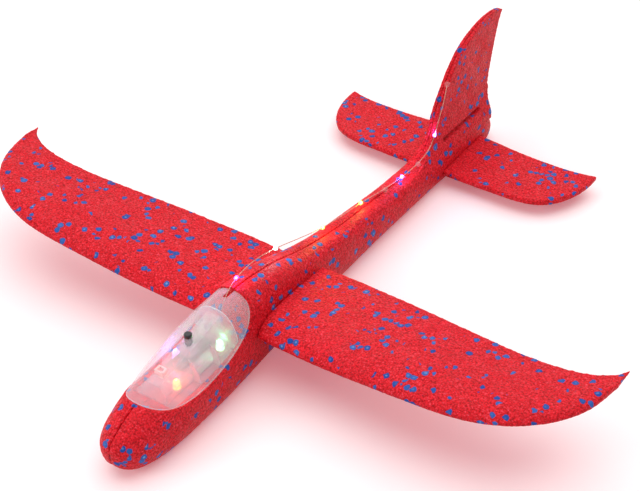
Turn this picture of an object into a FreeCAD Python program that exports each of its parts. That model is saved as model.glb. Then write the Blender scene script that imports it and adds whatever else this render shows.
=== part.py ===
"""Foam hand glider with a lighted cockpit: every named piece as its own solid.

Frame, in millimetres: +X is the aircraft's left wing, the nose points along -Y,
+Z is up.  X = 0 is the plane the two fuselage halves meet on, Y = 0 is half way
along the overall length and Z = 0 is the flat the belly rests on.  A longer or
shorter glider keeps its nose and cockpit, and its boom is stretched.
"""
import math
import os
import FreeCAD, Part

# ---- overall sizes ------------------------------------------------------------
SPAN = 490.0
LENGTH = 470.0
TAIL_SPAN = 220.0
FIN_TOP = 109.5
NOSE_Y = -235.0
TAIL_Y = NOSE_Y + LENGTH
BOOM_START = -35.0      # ahead of here nothing moves when the length changes
BOOM_END = 100.0        # behind here everything moves back by the whole change


def aft(y):
    """Place along the boom or tail, once the boom is stretched to suit the length."""
    share = min(max((y - BOOM_START) / (BOOM_END - BOOM_START), 0.0), 1.0)
    return y + (LENGTH + 2.0 * NOSE_Y) * share


# ---- fuselage: y, half width, bottom, widest height, top, half of the flat belly ----
STATIONS = [
    (NOSE_Y, 3.2, 18.0, 21.5, 25.0, 1.4, 0.00),
    (NOSE_Y + 1.6, 8.2, 12.5, 21.0, 29.0, 3.0, 0.10),
    (NOSE_Y + 5.5, 12.6, 8.2, 20.5, 33.0, 4.5, 0.15),
    (NOSE_Y + 13.0, 16.6, 4.2, 20.0, 37.5, 6.0, 0.20),
    (NOSE_Y + 24.0, 19.4, 1.6, 20.0, 42.0, 7.5, 0.25),
    (NOSE_Y + 39.0, 21.4, 0.0, 20.5, 47.0, 8.5, 0.35),
    (-175.0, 22.4, -0.4, 21.5, 54.5, 9.0, 0.45),
    (-150.0, 22.4, -0.4, 22.5, 61.0, 9.0, 0.50),
    (-125.0, 21.2, -0.4, 23.5, 64.8, 9.0, 0.60),
    (-100.0, 19.2, 0.0, 24.0, 64.0, 8.5, 0.80),
    (-70.0, 17.0, 0.8, 23.5, 59.5, 7.5, 1.00),
    (-35.0, 14.8, 2.0, 21.5, 49.0, 6.5, 1.00),
    (aft(5.0), 13.2, 3.2, 20.0, 40.0, 5.5, 1.00),
    (aft(55.0), 12.0, 3.8, 18.0, 34.2, 5.0, 0.90),
    (aft(110.0), 11.0, 3.2, 16.5, 31.0, 5.0, 0.80),
    (aft(158.0), 10.4, 1.4, 15.0, 30.0, 5.5, 0.70),
    (aft(190.0), 10.0, -0.4, 13.0, 27.5, 5.5, 0.50),
    (aft(206.0), 9.0, 0.0, 11.5, 24.0, 4.5, 0.30),
    (aft(214.0), 7.2, 1.8, 10.8, 20.6, 3.4, 0.10),
    (aft(218.0), 4.6, 4.6, 10.2, 16.4, 2.0, 0.00),
    (aft(219.2), 2.2, 7.2, 10.0, 13.0, 1.0, 0.00),
]
CROWN = 0.50            # how far the top curve stays level, as a share of the width
CROWN_SQUARE = 0.30     # added to that where the section is fully square
CHEEK = 0.62            # how far the side curve stays upright, as a share of the height
CHEEK_SQUARE = 0.20
SEAM_WIDTH = 1.8        # open vee left where the two moulded halves meet
SEAM_DEPTH = 1.0

# ---- cockpit --------------------------------------------------------------------
LIP = 1.0               # foam stands this far proud of the clear canopy
CANOPY_WALL = 1.0
CANOPY_GAP = 0.3
RIM = [(-212.0, 47.0), (-203.0, 40.6), (-187.0, 34.9), (-167.0, 33.2), (-145.0, 35.2),
       (-125.0, 40.4), (-112.0, 49.0), (-107.2, 58.0), (-106.0, 69.0)]
DECK_Z = 32.0
DECK_FRONT = -192.0
DECK_REAR = -121.0
DECK_HALF = 15.8
FLANGE = 1.2
TUB_FRONT = -168.0
TUB_REAR = -134.0
TUB_HALF = 9.6
TUB_FLOOR = 15.0
SHELL = 1.2             # wall of the tub and of the light housing
SLIP = 0.2              # loose fit of hard pieces laid in foam

# ---- light housing -------------------------------------------------------------
BOX_FRONT = -190.0
BOX_REAR = -125.0
BOX_HALF = 9.9
BOX_SHOULDER_Z = 40.5   # the sides are upright to here, then lean in to the roof
ROOF_HALF = 5.2
ROOF_FRONT_Z = 46.3
ROOF_REAR_Z = 58.6
BULKHEAD_GAP = 0.7
RIBS_Y = (-143.0, -163.0)
RIB = 1.1
RIB_RADIUS = 15.6
RIB_CENTRE_Z = 35.0
LATCH_Y = -181.0
LATCH_TOP = 52.2
LATCH_HALF = 3.4
LATCH_REACH = 2.6
LATCH_FOOT_Z = 41.3

# ---- electrics -------------------------------------------------------------------
CELL_DIAMETER = 11.6
CELL_HEIGHT = 5.4
CELL_COUNT = 3
CELL_EDGE = 0.5
CELL_BUTTON = 0.9
SPRING_ROOM = 2.2       # space left for the leaf spring in front of the cells
SPRING_HALF = 3.0
CONTACT = 0.5
LID = 1.2
LID_Z = DECK_Z - 1.0
SCREW_DIAMETER = 2.2
SCREW_HEAD = 4.0
SCREW_LENGTH = 8.0
LID_SCREW_Y = TUB_FRONT + SHELL + 4.2
CELLS_Y0 = LID_SCREW_Y + 8.6
CELLS_Y1 = CELLS_Y0 + CELL_COUNT * CELL_HEIGHT
CELLS_Z = TUB_FLOOR + SHELL + CELL_DIAMETER / 2
LID_GAP = 0.25
BOARD = 1.0
BOARD_Z = 43.0
BOARD_FRONT = -170.0
BOARD_REAR = -136.0
BOARD_HALF = 6.2
SWITCH_Y = -153.0
SWITCH_SIDE = 7.0
SWITCH_HEIGHT = 7.0
STEM_DIAMETER = 3.2
STEM_FIT = 0.05         # running clearance all round the push stem
CAP_DIAMETER = 5.2
CAP_HEIGHT = 8.2
CAP_TOP = 61.2
CAP_GAP = 0.4
PRESS = 1.5
LED_DIAMETER = 5.0
LED_BODY = 4.4
LED_RIM = 0.8
LED_FLANGE = 0.3
GREEN_AT = (5.2, -129.4)
ORANGE_AT = (5.0, -173.6)
VIOLET_AT = (-12.8, -152.0)

# ---- wings -----------------------------------------------------------------------
DIHEDRAL = 0.096
WING_Z = 31.4
TIP_X = SPAN / 2.0
# x, leading edge, trailing edge, thickness scale
PLANFORM = [
    (8.0, -107.2, -25.6, 1.00),
    (50.0, -112.8, -29.0, 0.97),
    (100.0, -115.4, -34.6, 0.92),
    (150.0, -116.0, -41.2, 0.86),
    (178.0, -114.2, -44.4, 0.80),
    (200.0, -107.6, -45.2, 0.72),
    (218.0, -97.0, -43.6, 0.62),
    (231.0, -84.0, -39.6, 0.52),
    (239.5, -69.0, -34.4, 0.42),
    (TIP_X, -44.0, -27.0, 0.30),
]
WING_SECTIONS = 14
# share of the chord, height over the chord line: from the trailing edge over the
# top, round the nose and back underneath
AIRFOIL = [(1.0, 2.6), (0.76, 5.2), (0.52, 8.0), (0.32, 9.5), (0.16, 8.9), (0.05, 5.9),
           (0.0, 1.4), (0.04, -2.2), (0.14, -2.9), (0.34, -1.9), (0.64, -0.6), (1.0, 0.0)]
AIRFOIL_CROWN = 4       # how many of those points lie on top, behind the crown
EDGE_KEPT = 1.6         # keeps the trailing edge from thinning with the rest at the tip
TONGUE_FRONT = -98.5
TONGUE_REAR = -52.5
TONGUE_LOW = 32.7
TONGUE_THICK = 5.8
FOAM_FIT = 0.08         # clearance all round a foam piece pushed into a foam slot
PART_GAP = 0.3          # open joint line between neighbouring foam pieces

# ---- tail --------------------------------------------------------------------------
TAIL_LOW = 9.2
TAIL_THICK = 5.0
TAIL_FRONT = aft(138.0)
TAIL_REAR = aft(196.0)
TAIL_EDGE = 1.7
TAIL_HALF_TRAIL = [(0.0, TAIL_REAR), (40.0, aft(192.6)), (76.0, aft(191.2)), (98.0, aft(192.8))]
TAIL_HALF_LEAD = [(108.6, aft(175.0)), (102.0, aft(157.5)), (90.0, aft(144.6)), (72.0, aft(139.2)),
                  (40.0, TAIL_FRONT)]
SPARE_SLOT_LOW = 33.4
SPARE_SLOT_HIGH = 36.8
SPARE_SLOT_FRONT = aft(146.0)
SPARE_SLOT_REAR = aft(199.0)
FIN_THICK = 6.5
FIN_TRAIL_THICK = 3.6
FIN_LEAD = [(100.0, 28.0), (120.0, 34.0), (131.0, 43.0), (137.0, 55.0), (143.7, 67.5),
            (152.8, 79.0), (161.9, 89.3), (174.0, 98.8), (190.5, 105.8), (213.0, FIN_TOP)]
FIN_LEAD = [(aft(y), z) for y, z in FIN_LEAD]
FIN_TIP = (TAIL_Y, 104.8)
FIN_TRAIL = [(229.8, 96.0), (223.0, 77.0), (217.4, 58.0), (214.4, 42.0), (213.6, 12.0)]
FIN_TRAIL = [FIN_TIP] + [(aft(y), z) for y, z in FIN_TRAIL]
ROOT_LOW = 20.0
ROOT_HIGH = 48.0
ROOT_HALF = 8.6

# ---- nose ballast ------------------------------------------------------------------
SLUG_DIAMETER = 11.0
SLUG_LENGTH = 11.0
SLUG_FRONT = -222.0
SLUG_Z = 20.0

# ---- string of lights ---------------------------------------------------------------
WIRE_DIAMETER = 0.7
BEAD_RADIUS = 1.7
WIRE_PATH = [
    (0.0, -136.4, 44.5), (0.0, -129.0, 45.2), (0.0, -121.6, 49.4), (-0.2, -117.0, 59.4),
    (-1.2, -109.4, 65.0), (-4.4, -97.0, 65.6), (-6.0, -76.0, 65.2), (-5.2, -52.6, 60.4),
    (-4.0, -26.0, 52.0), (-3.2, -1.0, 44.8), (-3.0, 22.0, 40.6), (-2.4, 45.0, 37.8),
    (0.6, 72.0, 34.6), (1.8, 93.0, 32.8), (3.0, 113.0, 33.4), (4.6, 126.0, 38.4), (4.9, 133.4, 48.0),
    (4.8, 139.6, 60.0), (4.4, 146.6, 70.8), (2.6, 153.2, 80.4),
]
BEAD_AT = [5, 7, 9, 11, 13, 16]
DAB_AT = [12, 14, 19]


def vec(x, y, z):
    return FreeCAD.Vector(x, y, z)


def box(x0, x1, y0, y1, z0, z1):
    return Part.makeBox(x1 - x0, y1 - y0, z1 - z0, vec(x0, y0, z0))


def cylinder(radius, height, base, axis=(0, 0, 1)):
    return Part.makeCylinder(radius, height, vec(*base), vec(*axis))


def curve(points):
    spline = Part.BSplineCurve()
    spline.interpolate([vec(*p) for p in points])
    return spline.toShape()


def bezier(points):
    arc = Part.BezierCurve()
    arc.setPoles([vec(*p) for p in points])
    return arc.toShape()


def line(a, b):
    return Part.LineSegment(vec(*a), vec(*b)).toShape()


def extrude(edges, direction):
    return Part.Face(Part.Wire(edges)).extrude(vec(*direction))


def mirror_x(shape):
    return shape.mirror(vec(0, 0, 0), vec(1, 0, 0))


def one_solid(shape):
    """The largest solid of a cut, so a sliver can never travel with a part."""
    return max(shape.Solids, key=lambda s: s.Volume)


# ---- fuselage -------------------------------------------------------------------------
def side_curves(station, grow, sign):
    """Lower and upper curve of one side of a cross-section, from belly to crown."""
    y, half, low, mid, high, flat, square = station
    w, b, t = (half + grow) * sign, low - grow, high + grow
    f, c = flat * sign, (CROWN + CROWN_SQUARE * square) * w
    cheek = CHEEK + CHEEK_SQUARE * square
    lower = bezier([(f, y, b), (f + 0.6 * (w - f), y, b), (w, y, mid - 0.55 * (mid - b)), (w, y, mid)])
    upper = bezier([(w, y, mid), (w, y, mid + cheek * (t - mid)), (c, y, t), (0, y, t)])
    return lower, upper


def section(station, grow):
    y, low, flat = station[0], station[2], station[5]
    right_low, right_high = side_curves(station, grow, 1)
    left_low, left_high = side_curves(station, grow, -1)
    belly = line((-flat, y, low - grow), (flat, y, low - grow))
    return Part.Wire([belly, right_low, right_high, left_high, left_low])


def hull(grow=0.0):
    """The whole outer shape of the fuselage, canopy included, swollen by grow."""
    return Part.makeLoft([section(s, grow) for s in STATIONS], True, False)


def seam_cutter():
    """Vee along the crown where the halves meet."""
    wires = []
    for station in STATIONS:
        y, high = station[0], station[4]
        left, right = (-SEAM_WIDTH / 2, y, high + 0.4), (SEAM_WIDTH / 2, y, high + 0.4)
        foot = (0, y, high - SEAM_DEPTH)
        wires.append(Part.Wire([line(left, foot), line(foot, right), line(right, left)]))
    return Part.makeLoft(wires, True, False)


def above_rim(lift=0.0):
    """Everything over the canopy rim: the rim line seen from the side, drawn through."""
    pts = [(-60.0, y, z + lift) for y, z in RIM]
    rim = curve(pts)
    y0, y1, top = RIM[0][0], RIM[-1][0], 90.0
    rear, front = (-60, y1, top), (-60, y0, top)
    edges = [rim, line(pts[-1], rear), line(rear, front), line(front, pts[0])]
    return extrude(edges, (120, 0, 0))


def fin_outline():
    lead = curve([(0, y, z) for y, z in FIN_LEAD])
    shoulder = bezier([(0, FIN_LEAD[-1][0], FIN_TOP), (0, aft(228.0), FIN_TOP + 0.6),
                       (0, FIN_TIP[0], FIN_TIP[1])])
    trail = curve([(0, y, z) for y, z in FIN_TRAIL])
    foot = line((0, FIN_TRAIL[-1][0], FIN_TRAIL[-1][1]), (0, FIN_LEAD[0][0], FIN_TRAIL[-1][1]))
    front = line((0, FIN_LEAD[0][0], FIN_TRAIL[-1][1]), (0, FIN_LEAD[0][0], FIN_LEAD[0][1]))
    return [lead, shoulder, trail, foot, front]


def fin():
    blade = extrude(fin_outline(), (FIN_THICK, 0, 0)).translated(vec(-FIN_THICK / 2, 0, 0))
    half, thin, start = FIN_THICK / 2, FIN_TRAIL_THICK / 2, TAIL_FRONT + 48.0
    for sign in (1, -1):
        a, b = (sign * half, start, ROOT_HIGH), (sign * 9.0, start, ROOT_HIGH)
        c, d = (sign * 9.0, TAIL_Y + 2, ROOT_HIGH), (sign * thin, TAIL_Y + 2, ROOT_HIGH)
        blade = blade.cut(extrude([line(a, b), line(b, c), line(c, d), line(d, a)], (0, 0, FIN_TOP)))
    return blade


def fin_root():
    """Flared foot that blends the blade into the boom and carries the spare slot."""
    half, y = FIN_THICK / 2, FIN_LEAD[0][0]
    tall = ROOT_HIGH - ROOT_LOW
    side = [(ROOT_HALF, 6), (ROOT_HALF - 2.6, 14), (half, tall - 10), (half, tall)]
    flare = bezier([(x, y, ROOT_LOW + z) for x, z in side])
    flare_l = bezier([(-x, y, ROOT_LOW + z) for x, z in side])
    edges = [line((-ROOT_HALF, y, ROOT_LOW), (ROOT_HALF, y, ROOT_LOW)),
             line((ROOT_HALF, y, ROOT_LOW), (ROOT_HALF, y, ROOT_LOW + 6)), flare,
             line((half, y, ROOT_HIGH), (-half, y, ROOT_HIGH)), flare_l,
             line((-ROOT_HALF, y, ROOT_LOW + 6), (-ROOT_HALF, y, ROOT_LOW))]
    bar = Part.Face(Part.Wire(Part.__sortEdges__(edges))).extrude(vec(0, TAIL_Y - y, 0))
    mask = extrude(fin_outline(), (40, 0, 0)).translated(vec(-20, 0, 0))
    return bar.common(mask)


def stadium(y0, y1, z0, z1, x0, x1, grow=0.0):
    """Bar along X with a slot-shaped section."""
    y0, y1, z0, z1 = y0 - grow, y1 + grow, z0 - grow, z1 + grow
    r, zc = (z1 - z0) / 2, (z0 + z1) / 2
    edges = [line((x0, y0 + r, z1), (x0, y1 - r, z1)),
             Part.Arc(vec(x0, y1 - r, z1), vec(x0, y1, zc), vec(x0, y1 - r, z0)).toShape(),
             line((x0, y1 - r, z0), (x0, y0 + r, z0)),
             Part.Arc(vec(x0, y0 + r, z0), vec(x0, y0, zc), vec(x0, y0 + r, z1)).toShape()]
    return extrude(edges, (x1 - x0, 0, 0))


def wing_slot(grow, x0, x1):
    return stadium(TONGUE_FRONT, TONGUE_REAR, TONGUE_LOW, TONGUE_LOW + TONGUE_THICK, x0, x1, grow)


def tail_bar(grow, x0, x1):
    """Bar with the tailplane's rounded-edge section, for the slot it slides in."""
    y0, y1 = TAIL_FRONT - grow, TAIL_REAR + grow
    bar = box(x0, x1, y0, y1, TAIL_LOW - grow, TAIL_LOW + TAIL_THICK + grow)
    return bar


def cockpit_cut():
    deck = box(-DECK_HALF - SLIP, DECK_HALF + SLIP, DECK_FRONT - SLIP, DECK_REAR + SLIP, DECK_Z, DECK_Z + 50)
    half = TUB_HALF + SLIP
    tub = box(-half, half, TUB_FRONT - SLIP, TUB_REAR + SLIP, TUB_FLOOR - SLIP, DECK_Z + 1)
    return above_rim().fuse(deck).fuse(tub)


def slug_hole():
    return cylinder(SLUG_DIAMETER / 2 + 0.1, SLUG_LENGTH + 0.2, (0, SLUG_FRONT - 0.1, SLUG_Z), (0, 1, 0))


def fuselage():
    body = hull().fuse([fin_root(), fin()])
    body = body.cut(box(-60, 60, NOSE_Y - 5, TAIL_Y + 5, -20, 0))
    body = body.cut(seam_cutter())
    body = body.cut(cockpit_cut())
    body = body.cut(wing_slot(FOAM_FIT, -60, 60))
    body = body.cut(tail_bar(FOAM_FIT, -60, 60))
    body = body.cut(stadium(SPARE_SLOT_FRONT, SPARE_SLOT_REAR, SPARE_SLOT_LOW, SPARE_SLOT_HIGH, -60, 60))
    body = body.cut(slug_hole())
    return body


# ---- flying surfaces ---------------------------------------------------------------------
def airfoil(x, lead, trail, scale):
    z = WING_Z + DIHEDRAL * x
    pts = []
    for i, (share, height) in enumerate(AIRFOIL):
        spare = (1.0 - scale) * EDGE_KEPT * share ** 2 if i < AIRFOIL_CROWN else 0.0
        pts.append((x, lead + share * (trail - lead), z + height * scale + spare))
    return Part.Wire([curve(pts), line(pts[-1], pts[0])])


def planform_at(x):
    """Edges and thickness at a distance out, on a smooth curve that never overshoots."""
    row = max(i for i in range(len(PLANFORM) - 1) if PLANFORM[i][0] <= x + 1e-9)

    def slope(i, k):
        if i == 0 or i == len(PLANFORM) - 1:
            j = min(i, len(PLANFORM) - 2)
            return (PLANFORM[j + 1][k] - PLANFORM[j][k]) / (PLANFORM[j + 1][0] - PLANFORM[j][0])
        before = (PLANFORM[i][k] - PLANFORM[i - 1][k]) / (PLANFORM[i][0] - PLANFORM[i - 1][0])
        after = (PLANFORM[i + 1][k] - PLANFORM[i][k]) / (PLANFORM[i + 1][0] - PLANFORM[i][0])
        return 0.0 if before * after <= 0 else 2 * before * after / (before + after)

    low, high = PLANFORM[row], PLANFORM[row + 1]
    width = high[0] - low[0]
    t = (x - low[0]) / width
    values = [x]
    for k in (1, 2, 3):
        ends = (2 * t ** 3 - 3 * t ** 2 + 1) * low[k] + (3 * t ** 2 - 2 * t ** 3) * high[k]
        leave, arrive = slope(row, k), slope(row + 1, k)
        values.append(ends + width * ((t ** 3 - 2 * t ** 2 + t) * leave + (t ** 3 - t ** 2) * arrive))
    return values


def wing_panel(body_clear):
    root = PLANFORM[0][0]
    turns = [math.pi / 2 * i / WING_SECTIONS for i in range(WING_SECTIONS + 1)]
    outs = [root + (TIP_X - root) * math.sin(turn) for turn in turns]
    blade = Part.makeLoft([airfoil(*planform_at(x)) for x in outs], True, False)
    blade = one_solid(blade.cut(body_clear))
    return one_solid(blade.fuse(wing_slot(0.0, PART_GAP / 2, STATIONS[9][1] + 4)).removeSplitter())


def tailplane():
    half = TAIL_SPAN / 2
    tip = (half, TAIL_REAR)
    trail = [(-x, y) for x, y in reversed(TAIL_HALF_TRAIL[1:])] + TAIL_HALF_TRAIL
    trail = [(-tip[0], tip[1])] + trail + [tip]
    right = curve([(tip[0], tip[1], 0)] + [(x, y, 0) for x, y in TAIL_HALF_LEAD])
    left = curve([(-tip[0], tip[1], 0)] + [(-x, y, 0) for x, y in TAIL_HALF_LEAD])
    inner = TAIL_HALF_LEAD[-1][0]
    front = line((inner, TAIL_FRONT, 0), (-inner, TAIL_FRONT, 0))
    edges = [curve([(x, y, 0) for x, y in trail]), right, front, left]
    plate = Part.Face(Part.Wire(Part.__sortEdges__(edges))).extrude(vec(0, 0, TAIL_THICK))
    plate.translate(vec(0, 0, TAIL_LOW))
    rims = [e for e in plate.Edges if e.BoundBox.ZLength < 0.01]
    return plate.makeFillet(TAIL_EDGE, rims)


# ---- cockpit pieces -------------------------------------------------------------------------
def roof_z(y):
    return ROOF_FRONT_Z + (y - BOX_FRONT) * (ROOF_REAR_Z - ROOF_FRONT_Z) / (BOX_REAR - BOX_FRONT)


def under_roof(drop, half, top, y0, y1, z0):
    """Block from z0 up to the sloping roof lowered by drop, its sides leaning in above the shoulder."""
    wires = []
    for y in (y0, y1):
        high, shoulder = roof_z(y) - drop, BOX_SHOULDER_Z - drop / 2
        side = [(half, z0), (half, shoulder), (top, high)]
        pts = [(x, y, z) for x, z in side] + [(-x, y, z) for x, z in reversed(side)]
        wires.append(Part.Wire([line(pts[i - 1], pts[i]) for i in range(len(pts))]))
    return Part.makeLoft(wires, True, True)


def latch_block(grow, z0, z1):
    x, reach = LATCH_HALF + grow, LATCH_REACH + grow
    return box(-x, x, LATCH_Y - reach, LATCH_Y + reach, z0, z1)


def canopy():
    shell = hull(-LIP).cut(hull(-LIP - CANOPY_WALL)).common(above_rim(CANOPY_GAP))
    shell = one_solid(shell)
    inner = hull(-LIP - CANOPY_WALL / 2)
    for y in (BOX_FRONT + 20.0, BOX_REAR - 12.0):
        for sign in (-1, 1):
            x = sign * (ROOF_HALF - 1.5)
            pad = box(x - 1.2, x + 1.2, y - 2.5, y + 2.5, DECK_Z, 80).common(inner)
            shell = shell.fuse(pad.cut(under_roof(0.0, 30, 30, y - 9, y + 9, DECK_Z - 5)))
    shell = shell.cut(cylinder(CAP_DIAMETER / 2 + CAP_GAP, 30, (0, SWITCH_Y, CAP_TOP - 12)))
    shell = shell.cut(latch_block(0.4, ROOF_FRONT_Z, 80))
    notch = box(-2.2, 1.3, -115.0, -100.0, 56.0, 67.0)
    return one_solid(shell.cut(notch).removeSplitter())


def battery_tub():
    flange = box(-DECK_HALF, DECK_HALF, DECK_FRONT, DECK_REAR, DECK_Z, DECK_Z + FLANGE)
    outer = box(-TUB_HALF, TUB_HALF, TUB_FRONT, TUB_REAR, TUB_FLOOR, DECK_Z + FLANGE)
    inner = box(-TUB_HALF + SHELL, TUB_HALF - SHELL, TUB_FRONT + SHELL, TUB_REAR - SHELL,
                TUB_FLOOR + SHELL, DECK_Z + FLANGE + 1)
    tub = flange.fuse(outer).cut(inner)
    boss = cylinder(3.0, LID_Z - TUB_FLOOR, (0, LID_SCREW_Y, TUB_FLOOR))
    depth = SCREW_LENGTH + 0.3
    hole = cylinder(SCREW_DIAMETER / 2 + STEM_FIT, depth, (0, LID_SCREW_Y, LID_Z + LID - depth))
    tub = tub.fuse(boss).cut(hole)
    for y in (CELLS_Y0 - SPRING_ROOM - SHELL, CELLS_Y1 + CONTACT):
        web = box(-TUB_HALF + SHELL / 2, TUB_HALF - SHELL / 2, y, y + SHELL, TUB_FLOOR + 0.5, TUB_FLOOR + 9.0)
        tub = tub.fuse(web)
    return tub.removeSplitter()



def battery_lid():
    half = TUB_HALF - SHELL - LID_GAP
    lid = box(-half, half, TUB_FRONT + SHELL + LID_GAP,
              TUB_REAR - SHELL - LID_GAP, LID_Z, LID_Z + LID)
    return lid.cut(cylinder(SCREW_DIAMETER / 2 + 0.2, 9, (0, LID_SCREW_Y, LID_Z - 4)))


def lid_screw():
    top = LID_Z + LID
    shank = cylinder(SCREW_DIAMETER / 2, SCREW_LENGTH, (0, LID_SCREW_Y, top - SCREW_LENGTH))
    head = cylinder(SCREW_HEAD / 2, 1.1, (0, LID_SCREW_Y, top))
    head = head.makeFillet(0.4, [head.Edges[0]])
    screw = shank.fuse(head)
    for size in ((2.6, 0.6), (0.6, 2.6)):
        screw = screw.cut(box(-size[0] / 2, size[0] / 2, LID_SCREW_Y - size[1] / 2,
                              LID_SCREW_Y + size[1] / 2, top + 0.5, top + 2))
    return screw.removeSplitter()


def cell(index):
    y = CELLS_Y0 + index * CELL_HEIGHT
    long = CELL_HEIGHT - CELL_BUTTON
    body = cylinder(CELL_DIAMETER / 2, long, (0, y + CELL_BUTTON, CELLS_Z), (0, 1, 0))
    flat = [e for e in body.Edges if e.BoundBox.YLength < 0.01]
    rim = [e for e in flat if abs(e.BoundBox.YMax - y - CELL_HEIGHT) < 0.01]
    body = body.makeFillet(CELL_EDGE, rim)
    button = cylinder(CELL_DIAMETER / 2 - 1.2, CELL_BUTTON, (0, y, CELLS_Z), (0, 1, 0))
    return body.fuse(button).removeSplitter()


def contact_spring():
    """Folded leaf that presses on the first cell."""
    y = CELLS_Y0 - SPRING_ROOM
    side = [(0, -4.5), (0.3, -4.5), (0.3, 3.6), (1.75, 0.2), (1.75, -1.4),
            (2.05, -1.4), (2.05, 0.3), (0.35, 4.5), (0, 4.5)]
    pts = [(-SPRING_HALF, y + a, CELLS_Z + b) for a, b in side]
    return extrude([line(pts[i - 1], pts[i]) for i in range(len(pts))], (2 * SPRING_HALF, 0, 0))


def contact_plate():
    return box(-4.5, 4.5, CELLS_Y1, CELLS_Y1 + CONTACT, TUB_FLOOR + SHELL, LID_Z - 0.6)


def light_housing():
    base = DECK_Z + FLANGE
    outer = under_roof(0.0, BOX_HALF, ROOF_HALF, BOX_FRONT, BOX_REAR, base)
    inner = under_roof(SHELL, BOX_HALF - SHELL, ROOF_HALF - SHELL, BOX_FRONT + SHELL,
                       BOX_REAR - SHELL, base - 1)
    room = hull(-LIP - CANOPY_WALL - BULKHEAD_GAP)
    inner = inner.common(hull(-LIP - CANOPY_WALL - BULKHEAD_GAP - SHELL))
    tube = outer.common(room).cut(inner)
    clear = above_rim(1.2)
    clear = clear.fuse(box(-DECK_HALF, DECK_HALF, BOX_REAR - 9, BOX_REAR + 9, base, 60))
    wall = box(-30, 30, BOX_REAR - SHELL, BOX_REAR, base, 90).common(room).common(clear)
    housing = tube.fuse(one_solid(wall))
    for y in RIBS_Y:
        disc = cylinder(RIB_RADIUS, RIB, (0, y, RIB_CENTRE_Z), (0, 1, 0))
        disc = disc.common(box(-30, 30, y - 1, y + 3, base, 60)).common(room)
        housing = housing.fuse(disc.cut(inner))
    for sign in (-1, 1):
        x = sign * (BOARD_HALF + 0.7)
        rail = box(x - 1.7, x + 1.7, BOARD_FRONT + 2, BOARD_REAR - 2, BOARD_Z - 2.0, BOARD_Z)
        housing = housing.fuse(rail)
    housing = housing.cut(cylinder(CAP_DIAMETER / 2 + CAP_GAP, 30, (0, SWITCH_Y, roof_z(SWITCH_Y) - 6)))
    housing = housing.cut(latch_block(0.0, 0, 90))
    housing = housing.cut(cylinder(1.3, 8, (0, BOX_REAR - 4, 46.8), (0, 1, 0)))
    return housing.removeSplitter()


def canopy_latch():
    """Springy tongue through the window at the front of the canopy."""
    tongue = latch_block(0.0, LATCH_FOOT_Z, LATCH_TOP)
    foot = box(-4.6, 4.6, LATCH_Y - 3.4, LATCH_Y + 3.4, LATCH_FOOT_Z - 1.2, LATCH_FOOT_Z)
    slot = box(-2.0, 2.0, LATCH_Y - 1.4, LATCH_Y + 1.6, LATCH_TOP - 3.2, LATCH_TOP + 1)
    return tongue.cut(slot).fuse(foot).removeSplitter()


def circuit_board():
    board = box(-BOARD_HALF, BOARD_HALF, BOARD_FRONT, BOARD_REAR, BOARD_Z, BOARD_Z + BOARD)
    chip = box(-2.5, 2.5, BOARD_REAR - 9, BOARD_REAR - 4, BOARD_Z + BOARD, BOARD_Z + BOARD + 1.4)
    pads = [box(x - 0.9, x + 0.9, BOARD_FRONT + 2, BOARD_FRONT + 4.2, BOARD_Z + BOARD, BOARD_Z + BOARD + 0.6)
            for x in (-4.5, -1.5, 1.5, 4.5)]
    return board.fuse([chip] + pads).removeSplitter()


def switch_body():
    low = BOARD_Z + BOARD
    half = SWITCH_SIDE / 2
    body = box(-half, half, SWITCH_Y - half, SWITCH_Y + half, low, low + SWITCH_HEIGHT)
    body = body.makeFillet(0.6, [e for e in body.Edges if e.BoundBox.ZLength > 1])
    bore = cylinder(STEM_DIAMETER / 2 + STEM_FIT, SWITCH_HEIGHT, (0, SWITCH_Y, low + 1.2))
    return body.cut(bore)


def switch_button():
    cap_low = CAP_TOP - CAP_HEIGHT
    stem_low = BOARD_Z + BOARD + 1.2 + PRESS + 0.2
    cap = cylinder(CAP_DIAMETER / 2, CAP_HEIGHT, (0, SWITCH_Y, cap_low))
    top = [e for e in cap.Edges if abs(e.BoundBox.ZMin - CAP_TOP) < 0.01]
    cap = cap.makeFillet(1.0, top)
    stem = cylinder(STEM_DIAMETER / 2, cap_low - stem_low + 0.5, (0, SWITCH_Y, stem_low))
    return cap.fuse(stem).removeSplitter()


def led(x, y):
    """Round lamp standing on the flange of the tub."""
    base, r = DECK_Z + FLANGE, LED_DIAMETER / 2
    lamp = cylinder(r + LED_FLANGE, LED_RIM, (x, y, base)).fuse(cylinder(r, LED_BODY, (x, y, base)))
    return lamp.fuse(Part.makeSphere(r, vec(x, y, base + LED_BODY))).removeSplitter()


# ---- string of lights ------------------------------------------------------------------------
def rounded_path(points):
    """Straight runs joined by tangent arcs."""
    pts = [vec(*p) for p in points]
    edges, radii, start = [], [], pts[0]
    for i in range(1, len(pts) - 1):
        back, ahead = pts[i - 1] - pts[i], pts[i + 1] - pts[i]
        turn = math.pi - back.getAngle(ahead)
        if turn < 0.01:
            continue
        reach = 0.45 * min(back.Length, ahead.Length)
        radius = reach / math.tan(turn / 2)
        a = pts[i] + back * (reach / back.Length)
        b = pts[i] + ahead * (reach / ahead.Length)
        bisector = (back / back.Length + ahead / ahead.Length)
        bisector.normalize()
        middle = pts[i] + bisector * (radius / math.cos(turn / 2) - radius)
        edges += [Part.LineSegment(start, a).toShape(), Part.Arc(a, middle, b).toShape()]
        radii.append(radius)
        start = b
    edges.append(Part.LineSegment(start, pts[-1]).toShape())
    print("wire bend radii", ", ".join("%.1f" % r for r in radii))
    return Part.Wire(edges)


def light_wire():
    spine = rounded_path(WIRE_PATH)
    start = vec(*WIRE_PATH[0])
    along = vec(*WIRE_PATH[1]) - start
    profile = Part.Wire(Part.Circle(start, along, WIRE_DIAMETER / 2).toShape())
    return spine, spine.makePipeShell([profile], True, False)


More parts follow.
